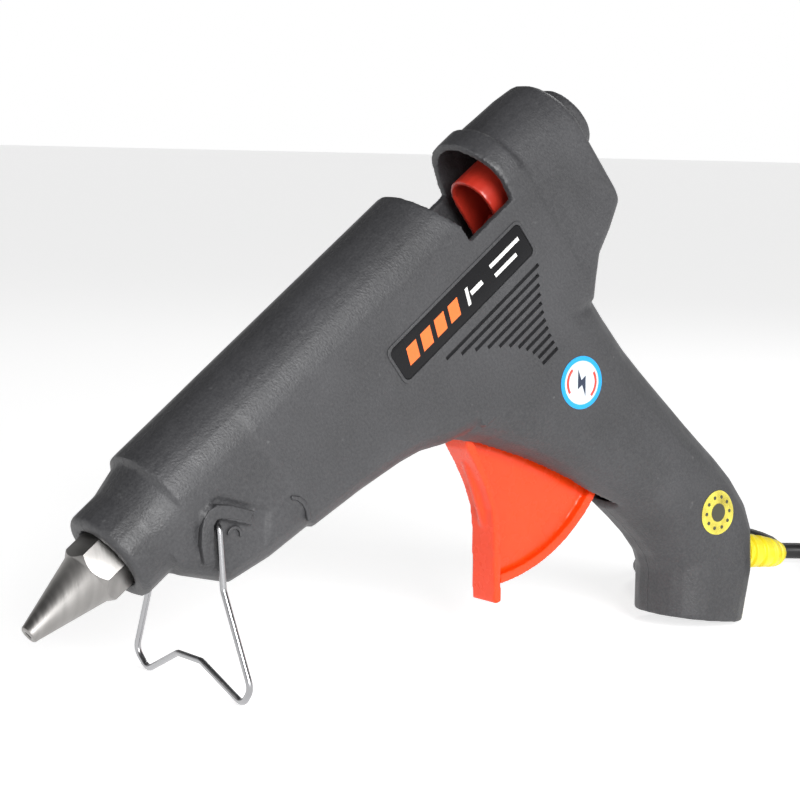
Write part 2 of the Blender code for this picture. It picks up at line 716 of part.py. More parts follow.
def strain_relief(stuff):
    """The ribbed cord sleeve, bending aside at its tip, with a flange inside the handle."""
    root = to_world(RELIEF_POINT[0], 0, RELIEF_POINT[1])
    steps = ((-8, 0, 0), (0, 0, 0), (7.0, 0, -0.8), (13.0, 2.0, -2.0), (18.3, 5.9, -3.0))
    route = [root + Vector(step) for step in steps]
    line = smooth_line(route, 32)
    rings, travelled = [], 0.0
    for index, point in enumerate(line):
        if index:
            travelled += (point - line[index - 1]).length
        ahead = (line[min(index + 1, 31)] - line[max(index - 1, 0)]).normalized()
        if travelled < 1.6:
            radius = 5.7
        elif travelled < 6.4:
            radius = 4.4
        else:
            radius = 4.6 - 1.3 * (travelled - 6.4) / 21.6 + 0.45 * math.cos(math.tau * (travelled - 6.4) / 3.4)
        aside = ahead.cross(Vector((0, 0, 1))).normalized()
        turns = (math.tau * step / 16 for step in range(16))
        rings.append([point + (aside * math.cos(t) + Vector((0, 0, 1)) * math.sin(t)) * radius for t in turns])
    return loft("strain_relief", rings, stuff)


def cord_tail(parent, stuffs):
    """The cord's end in the handle, its clamp and screws, and the two leads to the electrodes."""
    cord, plastic, metal, red, blue = stuffs
    line = smooth_line(((143.0, 0, -134.2), (139.0, 0, -130.4), (136.4, 0, -124.0), (135.8, 0, -112.0)), 12)
    wire("cord_tail", line, CORD_R, cord, parent, 2)
    clamp = block("cord_clamp", (131.0, -9.6, -120.0), (132.8, 9.6, -115.0), plastic)
    for number, y in enumerate((-7.0, 7.0), start=1):
        cut(clamp, rod("hole", (130, y, -117.5), (134, y, -117.5), 1.5, 12))
        profile = ((0.0, 1.15), (5.4, 1.15), (5.5, 2.2), (6.8, 2.2))
        turned(f"clamp_screw_{number}", (136.0, y, -117.5), (-1, 0, 0), profile, 10, metal, parent)
    clamp.parent = parent
    for name, side, stuff in (("lead_live", -1, red), ("lead_neutral", 1, blue)):
        level = -12.1 if side < 0 else -15.5
        route = [(135.8, side * 1.4, -111.2), (137.6, side * 4.0, -104.0), (141.0, side * 7.4, -90.0)]
        route += [(140.6, side * 8.0, -74.0), (137.0, side * 8.0, -58.0), (128.0, side * 8.0, -44.0)]
        route += [(112.0, side * 8.0, -31.0), (96.0, side * 7.0, -21.0), (86.0, side * 3.8, level), (79.5, side * 3.2, level)]
        wire(name, smooth_line(route, 34), 0.8, stuff, parent, 1)


def cord_route():
    """The free cord's own points in the world, from the relief's tip to the coil."""
    root = to_world(RELIEF_POINT[0], 0, RELIEF_POINT[1])
    start = root + Vector((18.85, 6.3, -3.1))
    floor = CORD_R + 0.2
    steps = ((0, 0, 0), (3.2, 2.8, 0.1), (4.6, 8.2, 1.4), (0.5, 14.4, 3.0), (-8.0, 18.2, 3.8), (-16.0, 24.7, 0.6))
    route = [start + Vector(step) for step in (*steps, (-17.0, 33.7, -5.0))]
    x, y, _ = start
    lain = ((-11.5, 43.2, 2.2), (-1.5, 49.7, 0.2), (12.5, 53.7, 0), (30.5, 55.7, 0), (47.5, 53.7, 0))
    for along, across, up in (*lain, (61.5, 46.7, 0), (72.0, 33.2, 0), (81.2, 15.0, 0)):
        route.append(Vector((x + along, y + across, floor + up)))
    return route


def power_cord(stuff):
    return wire("power_cord", smooth_line(cord_route(), 60), CORD_R, stuff, None, 2)


def coil_and_plug(stuffs):
    """The tied coil on the floor, its tie, and the two-pin plug that lies along the coil's top."""
    cord, plastic, metal = stuffs
    x, y = COIL_CENTRE
    inner, outer, height = COIL_MEAN_R - COIL_HALF, COIL_MEAN_R + COIL_HALF, COIL_HEIGHT
    profile = ((0.3, inner + 2), (0.3, outer - 2), (2.3, outer), (height - 2, outer), (height, outer - 2))
    profile += ((height, inner + 2), (height - 2, inner), (2.3, inner))
    turned_ring("cord_coil", (x, y, 0), (0, 0, 1), profile, 32, cord)
    tie_x = x + COIL_MEAN_R
    tie = block("coil_tie", (tie_x - COIL_HALF - 1.2, y - 2.5, 0.0), (tie_x + COIL_HALF + 1.2, y + 2.5, height + 1.2), cord)
    hole = block("inside", (tie_x - COIL_HALF - 0.3, y - 3, 0.0), (tie_x + COIL_HALF + 0.3, y + 3, height + 0.3))
    cut(tie, hole)
    rise = height + 0.3
    outline = ((-5.0, 3.0), (-1.0, 2.0), (9.0, 0.0), (25.0, 0.0), (26.0, 2.0), (26.0, 11.0), (25.0, 13.0))
    outline += ((9.0, 13.0), (-1.0, 9.5), (-5.0, 8.5))
    middle = y + 22.0
    body = [(x + along, rise + up) for along, up in outline]
    prism("plug_body", body, middle - 8.0, middle + 8.0, plastic)
    for number, aside in enumerate((-6.3, 6.3), start=1):
        start = Vector((x + 26.3, middle + aside * 0.85, rise + 6.5))
        rod(f"plug_pin_{number}", start, start + Vector((17.0, 0, 0)), 2.2, 12, metal)


def build():
    """Make every part."""
    clear_scene()
    black = material("abs_black", (0.035, 0.037, 0.04), 0.5)
    orange = material("gloss_orange", (0.9, 0.12, 0.02), 0.25)
    red = material("feed_red", (0.45, 0.03, 0.02), 0.4)
    steel = material("steel", (0.6, 0.6, 0.6), 0.3, 1.0)
    alloy = material("aluminium", (0.75, 0.75, 0.76), 0.35, 1.0)
    brass = material("brass", (0.75, 0.6, 0.3), 0.35, 1.0)
    ceramic = material("ceramic", (0.25, 0.25, 0.27), 0.7)
    film = material("film", (0.6, 0.33, 0.06), 0.3)
    silicone = material("silicone", (0.7, 0.68, 0.62), 0.5)
    yellow = material("relief_yellow", (0.85, 0.75, 0.05), 0.45)
    cord = material("cord_black", (0.02, 0.02, 0.02), 0.5)
    gloss = material("label_black", (0.02, 0.02, 0.02), 0.2)
    blue = material("sticker_blue", (0.05, 0.3, 0.6), 0.3)
    gold = material("foil_gold", (0.8, 0.7, 0.2), 0.3, 0.8)
    gun = empty("gun_frame", None, (GUN_X, 0, GUN_Z), -TILT)
    feed = empty("feed_line", gun, (0, 0, 0), FEED_SLOPE)
    half_shell("left_shell", -1, gun, black)
    half_shell("right_shell", 1, gun, black)
    nozzle(feed, alloy)
    melt_chamber(feed, alloy)
    heater_stack(feed, (ceramic, brass, film))
    inlet_sleeve(feed, (silicone, steel))
    feed_carriage(feed, red)
    grip_lever(gun, (red, steel))
    trigger(gun, (orange, steel))
    trigger_pin(gun, steel)
    return_spring(gun, steel)
    wire_stand(gun, steel)
    shell_screws(gun, steel)
    label_and_stickers(gun, (gloss, blue, gold))
    strain_relief(yellow)
    cord_tail(gun, (cord, black, steel, material("lead_red", (0.6, 0.05, 0.03), 0.4), blue))
    power_cord(cord)
    coil_and_plug((cord, cord, brass))


build()
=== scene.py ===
"""The finished look of a hot glue gun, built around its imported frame.

Every place comes from the gun's own frame: a runs from the nose collar to the rear, y across the
gun and h up, in millimetres. GunFrame turns them into the world's metres.
"""

import logging
import math
from dataclasses import dataclass, field
from enum import Enum

import bpy
from mathutils import Euler, Matrix, Vector


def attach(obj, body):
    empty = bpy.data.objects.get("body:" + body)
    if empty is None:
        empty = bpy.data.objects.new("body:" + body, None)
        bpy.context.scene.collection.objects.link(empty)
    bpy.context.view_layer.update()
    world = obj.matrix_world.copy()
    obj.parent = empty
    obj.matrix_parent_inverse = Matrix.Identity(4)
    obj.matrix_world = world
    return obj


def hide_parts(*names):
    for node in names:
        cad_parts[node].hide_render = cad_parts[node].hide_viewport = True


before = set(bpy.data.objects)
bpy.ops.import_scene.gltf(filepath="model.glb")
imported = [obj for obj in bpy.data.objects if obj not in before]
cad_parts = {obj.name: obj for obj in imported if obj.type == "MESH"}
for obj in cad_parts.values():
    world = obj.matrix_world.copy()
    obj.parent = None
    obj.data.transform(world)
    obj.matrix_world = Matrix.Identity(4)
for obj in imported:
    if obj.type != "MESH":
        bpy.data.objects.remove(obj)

LOG = logging.getLogger("glue_gun")
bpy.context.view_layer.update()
MM = 0.001
Point = tuple[float, float, float]
Spot = tuple[float, float]


class Side(Enum):
    """The two halves of the body, and the sign of y on each."""

    LEFT = -1
    RIGHT = 1


@dataclass(frozen=True)
class GunFrame:
    """How the gun stands in the world: nose down, about its y axis."""

    tilt: float = math.radians(38.8)
    x: float = -101.38
    z: float = 32.77
    feed_slope: float = math.radians(0.75)

    def matrix(self) -> Matrix:
        """The gun frame's matrix, from millimetres to the world's metres."""
        place = Matrix.Translation(Vector((self.x, 0, self.z)) * MM)
        return place @ Matrix.Rotation(-self.tilt, 4, "Y") @ Matrix.Scale(MM, 4)

    def feed_matrix(self) -> Matrix:
        """The feed line's matrix, which falls slightly to the rear."""
        return self.matrix() @ Matrix.Rotation(self.feed_slope, 4, "Y")

    def point(self, a: float, y: float, h: float) -> Vector:
        """A point of the gun's frame in the world."""
        return self.matrix() @ Vector((a, y, h))


GUN = GunFrame()


# Modelling steps ---------------------------------------------------------------------------


def deselect() -> None:
    """Leave object mode's selection empty."""
    bpy.ops.object.select_all(action="DESELECT")


def pick(piece: bpy.types.Object) -> None:
    """Make a piece the only selected and the active object.

    Args:
        piece: the piece to work on.
    """
    deselect()
    piece.select_set(True)
    bpy.context.view_layer.objects.active = piece


def edit(piece: bpy.types.Object, select: str = "SELECT") -> None:
    """Open a piece in edit mode with everything selected or nothing.

    Args:
        piece: the piece to work on.
        select: the action for its faces, SELECT or DESELECT.
    """
    pick(piece)
    bpy.ops.object.mode_set(mode="EDIT")
    bpy.ops.mesh.select_all(action=select)


def done() -> None:
    """Go back to object mode."""
    bpy.ops.object.mode_set(mode="OBJECT")


def finish_mesh(piece: bpy.types.Object, angle: float = 35.0) -> bpy.types.Object:
    """Merge doubles, turn the faces outwards and shade smooth up to an angle in degrees.

    Args:
        piece: the piece to work on.
        angle: the angle past which an edge stays sharp, in degrees.

    Returns:
        The same piece.
    """
    edit(piece)
    bpy.ops.mesh.remove_doubles(threshold=1e-6)
    bpy.ops.mesh.normals_make_consistent(inside=False)
    done()
    return shade(piece, angle)


def shade(piece: bpy.types.Object, angle: float = 35.0) -> bpy.types.Object:
    """Shade a piece smooth up to an angle in degrees.

    Args:
        piece: the piece to work on.
        angle: the angle past which an edge stays sharp, in degrees.

    Returns:
        The same piece.
    """
    pick(piece)
    bpy.ops.object.shade_smooth_by_angle(angle=math.radians(angle))
    return piece


def modify(piece: bpy.types.Object, kind: str, **settings: object) -> bpy.types.Object:
    """Add a modifier, set it and apply it.

    Args:
        piece: the piece to work on.
        kind: the modifier's type.
        settings: its properties, by name.

    Returns:
        The same piece.
    """
    pick(piece)
    step = piece.modifiers.new(kind.lower(), kind)
    for name, value in settings.items():
        setattr(step, name, value)
    bpy.ops.object.modifier_apply(modifier=step.name)
    return piece


def boolean(target: bpy.types.Object, tool: bpy.types.Object, operation: str) -> bpy.types.Object:
    """Combine a target with a tool, and remove the tool.

    Args:
        target: the piece that is kept.
        tool: the piece that shapes it.
        operation: DIFFERENCE or INTERSECT.

    Returns:
        The target.
    """
    modify(target, "BOOLEAN", operation=operation, object=tool, solver="EXACT")
    bpy.data.objects.remove(tool)
    return target


def merged(pieces: list[bpy.types.Object], name: str) -> bpy.types.Object:
    """Join separate meshes into one object.

    Args:
        pieces: the meshes to join.
        name: the joined object's name.

    Returns:
        The joined object.
    """
    deselect()
    for piece in pieces:
        piece.select_set(True)
    bpy.context.view_layer.objects.active = pieces[0]
    bpy.ops.object.join()
    pieces[0].name = name
    return pieces[0]


def settle(piece: bpy.types.Object, matrix: Matrix) -> bpy.types.Object:
    """Move a mesh's points by a matrix, so that its object stays at the origin.

    Args:
        piece: the piece to work on.
        matrix: where its points go.

    Returns:
        The same piece.
    """
    pick(piece)
    bpy.ops.object.transform_apply(location=True, rotation=True, scale=True)
    piece.data.transform(matrix)
    piece.data.update()
    return piece


def box(name: str, low: Point, high: Point, matrix: Matrix | None = None) -> bpy.types.Object:
    """A box between two corners of a frame.

    Args:
        name: the object's name.
        low: its lowest corner, in millimetres.
        high: its highest corner.
        matrix: the frame, the gun's own if it is left out.

    Returns:
        The box, with its place in its mesh.
    """
    deselect()
    middle = [(one + two) / 2 for one, two in zip(low, high)]
    bpy.ops.mesh.primitive_cube_add(size=1, location=middle)
    piece = bpy.context.active_object
    piece.name = name
    piece.scale = [two - one for one, two in zip(low, high)]
    return settle(piece, matrix or GUN.matrix())


def disc(name: str, spot: Spot, radius: float, low: float, high: float, sides: int = 64) -> bpy.types.Object:
    """A flat disc across the gun at (a, h), between two values of y.

    Args:
        name: the object's name.
        spot: its middle as (a, h).
        radius: its radius.
        low: its lower y.
        high: its higher y.
        sides: how many sides its edge has.

    Returns:
        The disc.
    """
    deselect()
    bpy.ops.mesh.primitive_cylinder_add(
        vertices=sides,
        radius=radius,
        depth=high - low,
        location=(spot[0], (low + high) / 2, spot[1]),
        rotation=(math.pi / 2, 0, 0),
    )
    piece = bpy.context.active_object
    piece.name = name
    return settle(piece, GUN.matrix())


def flat(name: str, outline: list[Spot], low: float, high: float) -> bpy.types.Object:
    """A flat outline across the gun, extruded between two values of y.

    Args:
        name: the object's name.
        outline: its corners as (a, h).
        low: its lower y.
        high: its higher y.

    Returns:
        The plate.
    """
    mesh = bpy.data.meshes.new(name)
    mesh.from_pydata([(a, low, h) for a, h in outline], [], [tuple(range(len(outline)))])
    piece = bpy.data.objects.new(name, mesh)
    bpy.context.collection.objects.link(piece)
    edit(piece)
    bpy.ops.mesh.extrude_region_move(TRANSFORM_OT_translate={"value": (0, high - low, 0)})
    bpy.ops.mesh.select_all(action="SELECT")
    bpy.ops.mesh.normals_make_consistent(inside=False)
    done()
    return settle(piece, GUN.matrix())


def spun(name: str, profile: list[Spot], matrix: Matrix, steps: int) -> bpy.types.Object:
    """A solid turned about the frame's first axis.

    Args:
        name: the object's name.
        profile: its closed outline as (along, radius), in millimetres.
        matrix: the frame it is turned in.
        steps: how many steps the turn takes.

    Returns:
        The turned piece, its faces pointing out.
    """
    mesh = bpy.data.meshes.new(name)
    count = len(profile)
    edges = [(index, (index + 1) % count) for index in range(count)]
    mesh.from_pydata([(along, 0, radius) for along, radius in profile], edges, [])
    piece = bpy.data.objects.new(name, mesh)
    bpy.context.collection.objects.link(piece)
    edit(piece)
    bpy.ops.mesh.spin(steps=steps, angle=math.tau, center=(0, 0, 0), axis=(1, 0, 0), use_auto_merge=True)
    bpy.ops.mesh.select_all(action="SELECT")
    bpy.ops.mesh.remove_doubles(threshold=1e-4)
    bpy.ops.mesh.normals_make_consistent(inside=False)
    done()
    return settle(piece, matrix)


def cad_copy(node: str, name: str) -> bpy.types.Object:
    """A merged copy of a frame node, to be worked on.

    Args:
        node: the node's name.
        name: the copy's name.

    Returns:
        The copy, with no material.
    """
    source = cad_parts[node]
    piece = bpy.data.objects.new(name, source.data.copy())
    bpy.context.collection.objects.link(piece)
    piece.data.materials.clear()
    edit(piece)
    bpy.ops.mesh.remove_doubles(threshold=1e-6)
    done()
    return piece


def moulded(piece: bpy.types.Object, voxel: float, rounds: int, angle: float = 40.0) -> bpy.types.Object:
    """Round every edge of a piece the way a mould does, by an even mesh and smoothing.

    Args:
        piece: the piece to work on.
        voxel: the size of the even mesh's faces, in millimetres.
        rounds: how many times the mesh is smoothed.
        angle: the angle past which an edge stays sharp, in degrees.

    Returns:
        The same piece.
    """
    modify(piece, "REMESH", mode="VOXEL", voxel_size=voxel * MM, adaptivity=0.0)
    modify(piece, "SMOOTH", factor=0.5, iterations=rounds)
    return shade(piece, angle)


def smooth_line(points: list[Vector], count: int) -> list[Vector]:
    """Evenly spread points on a smooth curve through the given points.

    Args:
        points: the points to pass through.
        count: how many points to give.

    Returns:
        The points along the curve.
    """
    route = [2 * points[0] - points[1], *points, 2 * points[-1] - points[-2]]
    fine = []
    for before, start, end, after in zip(route, route[1:], route[2:], route[3:]):
        for step in range(40):
            t = step / 40
            fine.append(
                start * (2 * t**3 - 3 * t**2 + 1)
                + (end - before) / 2 * (t**3 - 2 * t**2 + t)
                + end * (3 * t**2 - 2 * t**3)
                + (after - start) / 2 * (t**3 - t**2)
            )
    fine.append(route[-2])
    travelled = [0.0]
    for first, second in zip(fine, fine[1:]):
        travelled.append(travelled[-1] + (second - first).length)
    spaced, index = [], 0
    for step in range(count):
        goal = travelled[-1] * step / (count - 1)
        while index < len(fine) - 2 and travelled[index + 1] < goal:
            index += 1
        share = (goal - travelled[index]) / (travelled[index + 1] - travelled[index])
        spaced.append(fine[index].lerp(fine[index + 1], min(share, 1.0)))
    return spaced


def rounded_line(points: list[Vector], radius: float, steps: int = 8) -> list[Vector]:
    """A line of straight runs whose corners are bent to a radius.

    Args:
        points: the line's corners.
        radius: how wide a corner is bent.
        steps: how many steps a bend has.

    Returns:
        The line's points.
    """
    line = [points[0]]
    for before, corner, after in zip(points, points[1:], points[2:]):
        back, ahead = (before - corner).normalized(), (after - corner).normalized()
        half = back.angle(ahead) / 2
        reach = min(radius / math.tan(half), (before - corner).length / 2.1, (after - corner).length / 2.1)
        start, end = corner + back * reach, corner + ahead * reach
        for step in range(steps + 1):
            t = step / steps
            line.append(start * (1 - t) ** 2 + corner * 2 * t * (1 - t) + end * t**2)
    line.append(points[-1])
    return line


def round_wire(name: str, line: list[Vector], radius: float, resolution: int = 6) -> bpy.types.Object:
    """A round wire along a line, in metres, as a curve with closed ends.

    Args:
        name: the object's name.
        line: the points it follows.
        radius: its radius, in metres.
        resolution: how round it is.

    Returns:
        The wire.
    """
    curve = bpy.data.curves.new(name, "CURVE")
    curve.dimensions = "3D"
    curve.bevel_depth = radius
    curve.bevel_resolution = resolution
    curve.use_fill_caps = True
    spline = curve.splines.new("POLY")
    spline.points.add(len(line) - 1)
    for place, point in zip(spline.points, line):
        place.co = (*point, 1.0)
    piece = bpy.data.objects.new(name, curve)
    bpy.context.collection.objects.link(piece)
    return piece


# Finishes ----------------------------------------------------------------------------------


NOISE_MIDDLE = (0.3, 0.7)
DUST_SCALE = 420.0
DUST_PEAKS = (0.70, 0.80)
GLOSS_SPREAD = 0.06
SOFT_DEPTHS = (0.003, 0.001, 0.0005)


@dataclass(frozen=True)
class Finish:
    """A surface: its colour, gloss, grain and wear.

    Sizes are in the world's metres: grain_scale and mottle_scale are noise scales per metre.
    """

    name: str
    colour: Point
    roughness: float = 0.5
    metallic: float = 0.0
    coat: float = 0.0
    subsurface: float = 0.0
    mottle: float = 0.12
    mottle_scale: float = 55.0
    grain: float = 0.15
    grain_scale: float = 2600.0
    grain_depth: float = 0.00004
    stretch: Point = (1.0, 1.0, 1.0)
    specular: float = 0.5
    glow: float = 0.0
    specks: float = 0.0
    fleck: float = 0.0
    speck_colour: Point = (0.3, 0.3, 0.3)

    def noise(
        self, tree: bpy.types.NodeTree, scale: float, detail: float, vector: bpy.types.NodeSocket
    ) -> bpy.types.Node:
        """A noise texture of one scale, on the given coordinates.

        Args:
            tree: the material's nodes.
            scale: its scale, per metre.
            detail: how many octaves it has.
            vector: the coordinates.

        Returns:
            The texture's node.
        """
        node = tree.nodes.new("ShaderNodeTexNoise")
        node.inputs["Scale"].default_value = scale
        node.inputs["Detail"].default_value = detail
        tree.links.new(vector, node.inputs["Vector"])
        return node

    def spread(
        self, tree: bpy.types.NodeTree, source: bpy.types.Node, low: float, high: float, span: Spot = NOISE_MIDDLE
    ) -> bpy.types.Node:
        """A map from a range of the noise to low and high.

        Args:
            tree: the material's nodes.
            source: the noise.
            low: what the start of the range becomes.
            high: what its end becomes.
            span: the range.

        Returns:
            The map's node.
        """
        node = tree.nodes.new("ShaderNodeMapRange")
        node.inputs["From Min"].default_value = span[0]
        node.inputs["From Max"].default_value = span[1]
        node.inputs["To Min"].default_value = low
        node.inputs["To Max"].default_value = high
        tree.links.new(source.outputs["Fac"], node.inputs["Value"])
        return node

    def mix(
        self, tree: bpy.types.NodeTree, share: bpy.types.NodeSocket, first: object, second: Point
    ) -> bpy.types.NodeSocket:
        """A colour mixed from two, the first a colour or another node's socket.

        Args:
            tree: the material's nodes.
            share: how much of the second shows.
            first: a colour or a socket.
            second: the other colour.

        Returns:
            The mixed colour's socket.
        """
        node = tree.nodes.new("ShaderNodeMix")
        node.data_type = "RGBA"
        tree.links.new(share, node.inputs["Factor"])
        if isinstance(first, tuple):
            node.inputs["A"].default_value = (*first, 1)
        else:
            tree.links.new(first, node.inputs["A"])
        node.inputs["B"].default_value = (*second, 1)
        return node.outputs["Result"]

    def material(self) -> bpy.types.Material:
        """The finish as a procedural material, made once.

        Returns:
            The material.
        """
        made = bpy.data.materials.get(self.name)
        if made:
            return made
        made = bpy.data.materials.new(self.name)
        made.use_nodes = True
        tree = made.node_tree
        shader = tree.nodes["Principled BSDF"]
        shader.inputs["Metallic"].default_value = self.metallic
        shader.inputs["Coat Weight"].default_value = self.coat
        shader.inputs["Specular IOR Level"].default_value = self.specular
        if self.glow:
            shader.inputs["Emission Color"].default_value = (1, 1, 1, 1)
            shader.inputs["Emission Strength"].default_value = self.glow
        shader.inputs["Subsurface Weight"].default_value = self.subsurface
        if self.subsurface:
            shader.inputs["Subsurface Radius"].default_value = SOFT_DEPTHS
        coordinates = tree.nodes.new("ShaderNodeTexCoord")
        mapping = tree.nodes.new("ShaderNodeMapping")
        mapping.inputs["Rotation"].default_value = (0, GUN.tilt, 0)
        mapping.inputs["Scale"].default_value = self.stretch
        tree.links.new(coordinates.outputs["Object"], mapping.inputs["Vector"])
        place = mapping.outputs["Vector"]
        mottle = self.noise(tree, self.mottle_scale, 6.0, place)
        shared = self.spread(tree, mottle, 0.0, 1.0)
        darker = tuple(part * (1 - self.mottle) for part in self.colour)
        lighter = tuple(min(1.0, part * (1 + self.mottle)) for part in self.colour)
        colour = self.mix(tree, shared.outputs["Result"], darker, lighter)
        if self.specks:
            dust = self.spread(tree, self.noise(tree, DUST_SCALE, 3.0, place), 0.0, self.specks, DUST_PEAKS)
            colour = self.mix(tree, dust.outputs["Result"], colour, self.speck_colour)
        fleck = self.spread(tree, self.noise(tree, self.grain_scale * 0.8, 1.0, place), 0.0, self.fleck)
        colour = self.mix(tree, fleck.outputs["Result"], colour, self.speck_colour)
        tree.links.new(colour, shader.inputs["Base Color"])
        smears = self.noise(tree, self.mottle_scale * 4, 4.0, place)
        rough = self.spread(tree, smears, self.roughness - GLOSS_SPREAD, self.roughness + GLOSS_SPREAD)
        tree.links.new(rough.outputs["Result"], shader.inputs["Roughness"])
        bump = tree.nodes.new("ShaderNodeBump")
        bump.inputs["Strength"].default_value = self.grain
        bump.inputs["Distance"].default_value = self.grain_depth
        grain = self.noise(tree, self.grain_scale, 2.0, place)
        tree.links.new(grain.outputs["Fac"], bump.inputs["Height"])
        tree.links.new(bump.outputs["Normal"], shader.inputs["Normal"])
        return made

    def dress(self, piece: bpy.types.Object) -> bpy.types.Object:
        """Give a piece this finish and no other.

        Args:
            piece: the piece to work on.

        Returns:
            The same piece.
        """
        piece.data.materials.clear()
        piece.data.materials.append(self.material())
        return piece


BODY = Finish(
    "textured_charcoal", (0.036, 0.036, 0.039), 0.48, mottle=0.2, grain=1.0, grain_scale=1900.0, grain_depth=0.0001,
    specks=0.2, fleck=0.06,
)
NOZZLE = Finish(
    "turned_aluminium", (0.32, 0.31, 0.30), 0.42, 1.0, mottle=0.1, mottle_scale=40, grain=0.5, grain_scale=260.0,
    grain_depth=0.00005, stretch=(12.0, 1.0, 1.0),
)
CAST = Finish("cast_aluminium", (0.6, 0.6, 0.6), 0.5, 1.0, grain=0.5, grain_scale=1200)
WIRE = Finish("drawn_steel", (0.40, 0.40, 0.41), 0.24, 1.0, mottle=0.08, grain=0.1, grain_scale=900)
STEEL = Finish("plated_steel", (0.55, 0.55, 0.56), 0.32, 1.0, mottle=0.1)
BRASS = Finish("brass", (0.75, 0.58, 0.28), 0.32, 1.0, mottle=0.12)
TRIGGER = Finish(
    "gloss_orange", (0.88, 0.05, 0.003), 0.26, coat=0.12, subsurface=0.08, specular=0.4, mottle=0.05, grain=0.1,
    grain_scale=500,
)
FEEDER = Finish("moulded_red", (0.48, 0.03, 0.016), 0.35, coat=0.1, mottle=0.1, grain=0.2)
RELIEF = Finish("soft_yellow", (0.80, 0.66, 0.02), 0.45, subsurface=0.1, mottle=0.06, grain=0.3, grain_scale=1500)
JACKET = Finish("cord_jacket", (0.018, 0.018, 0.019), 0.45, mottle=0.2, grain=0.3)
PLUG = Finish("plug_black", (0.022, 0.022, 0.023), 0.5, mottle=0.15, grain=0.4)
LABEL = Finish("label_gloss_black", (0.006, 0.006, 0.007), 0.24, mottle=0.1, grain=0.05, specular=0.22)
PRINT_ORANGE = Finish("print_orange", (0.85, 0.16, 0.03), 0.35, mottle=0.06)
PRINT_PALE = Finish("print_pale", (0.75, 0.75, 0.73), 0.35, mottle=0.05)
STICKER_BLUE = Finish("sticker_blue", (0.01, 0.33, 0.72), 0.3, mottle=0.05)
STICKER_PALE = Finish("sticker_pale", (0.58, 0.63, 0.68), 0.3, mottle=0.05)
STICKER_RED = Finish("sticker_red", (0.7, 0.06, 0.04), 0.35, mottle=0.05)
STICKER_INK = Finish("sticker_ink", (0.02, 0.03, 0.06), 0.35, mottle=0.05)
# The foil's strong mottle is painted highlight: random blotches of lighter and darker gold stand in for the foil's
# reflections.
FOIL = Finish("gold_foil", (0.78, 0.64, 0.10), 0.25, 0.6, mottle=0.4, mottle_scale=190, grain=0.6, grain_scale=900)
FOIL_INK = Finish("foil_ink", (0.05, 0.05, 0.03), 0.4, mottle=0.1)
CERAMIC = Finish("heater_ceramic", (0.12, 0.12, 0.13), 0.7, mottle=0.2)
FILM = Finish("amber_film", (0.55, 0.28, 0.04), 0.25, mottle=0.2)
SILICONE = Finish("silicone", (0.62, 0.60, 0.55), 0.45, subsurface=0.2, mottle=0.06)
LEAD_RED = Finish("lead_red", (0.5, 0.04, 0.02), 0.4)
LEAD_BLUE = Finish("lead_blue", (0.03, 0.12, 0.5), 0.4)


def place(piece: bpy.types.Object, body: str, slot: str, *nodes: str) -> bpy.types.Object:
    """Let a piece ride on a body and stand for frame nodes.

    Args:
        piece: the piece to work on.
        body: the body it rides on.
        slot: not used.
        nodes: the frame nodes that it stands for.

    Returns:
        The same piece.
    """
    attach(piece, body)
    if nodes:
        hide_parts(*nodes)
    LOG.info("%s rides on %s", piece.name, body)
    return piece


# Sub-assemblies ----------------------------------------------------------------------------


